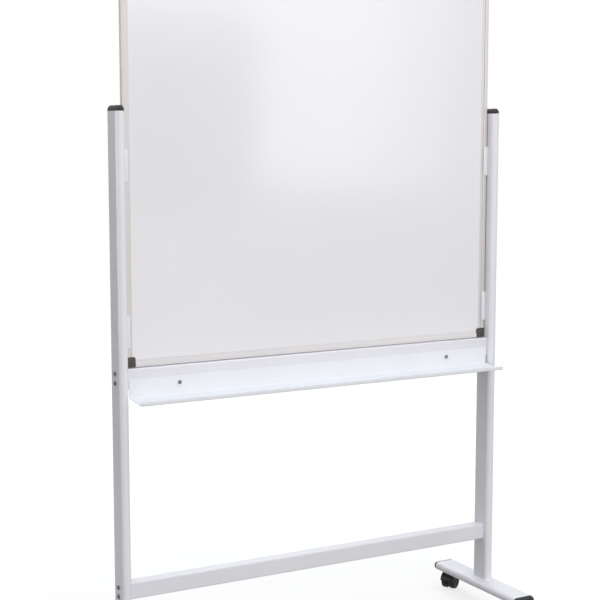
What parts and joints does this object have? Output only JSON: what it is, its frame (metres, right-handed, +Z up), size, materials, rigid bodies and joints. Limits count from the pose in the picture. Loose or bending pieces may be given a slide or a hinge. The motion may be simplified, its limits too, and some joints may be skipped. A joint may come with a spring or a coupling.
{
  "type": "rolling whiteboard",
  "caption": "Rolling whiteboard with a framed square board between upright posts, crossbars, a full-width pen tray and swivelling twin-wheel casters.",
  "frame": {"origin": "on the floor, under the middle of the board's width and depth", "axes": "+X along the board's width, -Y out of the writing side, +Z up"},
  "size_m": [1.3314, 0.4598, 2.0757],
  "materials": {
    "white_coat": "satin white powder coat on steel",
    "tray_coat": "satin white powder coat on sheet",
    "rail_aluminium": "satin anodised",
    "writing_enamel": "glossy white enamel on steel",
    "backing_sheet": "light grey coated steel sheet",
    "core_board": "raw fibre core",
    "corner_plastic": "dark grey moulded",
    "cap_plastic": "charcoal moulded",
    "caster_nylon": "black moulded nylon",
    "zinc_steel": "black zinc plating"
  },
  "bodies": {
    "stand_and_board": {"left_post": "white_coat", "left_foot": "white_coat", "left_post_cap": "cap_plastic", "left_front_foot_cap": "cap_plastic", "left_rear_foot_cap": "cap_plastic", "right_post": "white_coat", "right_foot": "white_coat", "right_post_cap": "cap_plastic", "right_front_foot_cap": "cap_plastic", "right_rear_foot_cap": "cap_plastic", "upper_crossbar": "white_coat", "lower_crossbar": "white_coat", "left_upper_bar_high_bolt": "zinc_steel", "left_upper_bar_low_bolt": "zinc_steel", "upper_left_bracket": "white_coat", "left_lower_bar_high_bolt": "zinc_steel", "left_lower_bar_low_bolt": "zinc_steel", "lower_left_bracket": "white_coat", "right_upper_bar_high_bolt": "zinc_steel", "right_upper_bar_low_bolt": "zinc_steel", "upper_right_bracket": "white_coat", "right_lower_bar_high_bolt": "zinc_steel", "right_lower_bar_low_bolt": "zinc_steel", "lower_right_bracket": "white_coat", "pen_tray": "tray_coat", "pen_tray_lip": "tray_coat", "left_tray_screw": "zinc_steel", "right_tray_screw": "zinc_steel", "top_rail": "rail_aluminium", "bottom_rail": "rail_aluminium", "left_rail": "rail_aluminium", "right_rail": "rail_aluminium", "top_left_corner": "corner_plastic", "top_right_corner": "corner_plastic", "bottom_left_corner": "corner_plastic", "bottom_right_corner": "corner_plastic", "front_sheet": "writing_enamel", "rear_sheet": "backing_sheet", "board_core": "core_board"},
    "front_left_fork": {"front_left_caster_stem": "zinc_steel", "front_left_caster_hood": "caster_nylon", "front_left_caster_axle": "zinc_steel"},
    "front_left_left_wheel": {"front_left_caster_left_wheel": "caster_nylon"},
    "front_left_right_wheel": {"front_left_caster_right_wheel": "caster_nylon"},
    "front_right_fork": {"front_right_caster_stem": "zinc_steel", "front_right_caster_hood": "caster_nylon", "front_right_caster_axle": "zinc_steel"},
    "front_right_left_wheel": {"front_right_caster_left_wheel": "caster_nylon"},
    "front_right_right_wheel": {"front_right_caster_right_wheel": "caster_nylon"},
    "rear_left_fork": {"rear_left_caster_stem": "zinc_steel", "rear_left_caster_hood": "caster_nylon", "rear_left_caster_axle": "zinc_steel"},
    "rear_left_left_wheel": {"rear_left_caster_left_wheel": "caster_nylon"},
    "rear_left_right_wheel": {"rear_left_caster_right_wheel": "caster_nylon"},
    "rear_right_fork": {"rear_right_caster_stem": "zinc_steel", "rear_right_caster_hood": "caster_nylon", "rear_right_caster_axle": "zinc_steel"},
    "rear_right_left_wheel": {"rear_right_caster_left_wheel": "caster_nylon"},
    "rear_right_right_wheel": {"rear_right_caster_right_wheel": "caster_nylon"}
  },
  "joints": [
    {"name": "front_left_swivel", "type": "hinge", "parent": "stand_and_board", "child": "front_left_fork", "pos_m": [-0.6158, -0.188, 0.0613], "axis": [0, 0, 1], "continuous": true},
    {"name": "front_left_left_wheel_spin", "type": "hinge", "parent": "front_left_fork", "child": "front_left_left_wheel", "pos_m": [-0.62979, -0.19576, 0.025], "axis": [0.4848, -0.8746, 0], "continuous": true},
    {"name": "front_left_right_wheel_spin", "type": "hinge", "parent": "front_left_fork", "child": "front_left_right_wheel", "pos_m": [-0.62979, -0.19576, 0.025], "axis": [0.4848, -0.8746, 0], "continuous": true},
    {"name": "front_right_swivel", "type": "hinge", "parent": "stand_and_board", "child": "front_right_fork", "pos_m": [0.6158, -0.188, 0.0613], "axis": [0, 0, 1], "continuous": true},
    {"name": "front_right_left_wheel_spin", "type": "hinge", "parent": "front_right_fork", "child": "front_right_left_wheel", "pos_m": [0.62979, -0.19576, 0.025], "axis": [0.4848, 0.8746, 0], "continuous": true},
    {"name": "front_right_right_wheel_spin", "type": "hinge", "parent": "front_right_fork", "child": "front_right_right_wheel", "pos_m": [0.62979, -0.19576, 0.025], "axis": [0.4848, 0.8746, 0], "continuous": true},
    {"name": "rear_left_swivel", "type": "hinge", "parent": "stand_and_board", "child": "rear_left_fork", "pos_m": [-0.6158, 0.188, 0.0613], "axis": [0, 0, 1], "continuous": true},
    {"name": "rear_left_left_wheel_spin", "type": "hinge", "parent": "rear_left_fork", "child": "rear_left_left_wheel", "pos_m": [-0.62979, 0.19576, 0.025], "axis": [-0.4848, -0.8746, 0], "continuous": true},
    {"name": "rear_left_right_wheel_spin", "type": "hinge", "parent": "rear_left_fork", "child": "rear_left_right_wheel", "pos_m": [-0.62979, 0.19576, 0.025], "axis": [-0.4848, -0.8746, 0], "continuous": true},
    {"name": "rear_right_swivel", "type": "hinge", "parent": "stand_and_board", "child": "rear_right_fork", "pos_m": [0.6158, 0.188, 0.0613], "axis": [0, 0, 1], "continuous": true},
    {"name": "rear_right_left_wheel_spin", "type": "hinge", "parent": "rear_right_fork", "child": "rear_right_left_wheel", "pos_m": [0.62979, 0.19576, 0.025], "axis": [-0.4848, 0.8746, 0], "continuous": true},
    {"name": "rear_right_right_wheel_spin", "type": "hinge", "parent": "rear_right_fork", "child": "rear_right_right_wheel", "pos_m": [0.62979, 0.19576, 0.025], "axis": [-0.4848, 0.8746, 0], "continuous": true}
  ]
}
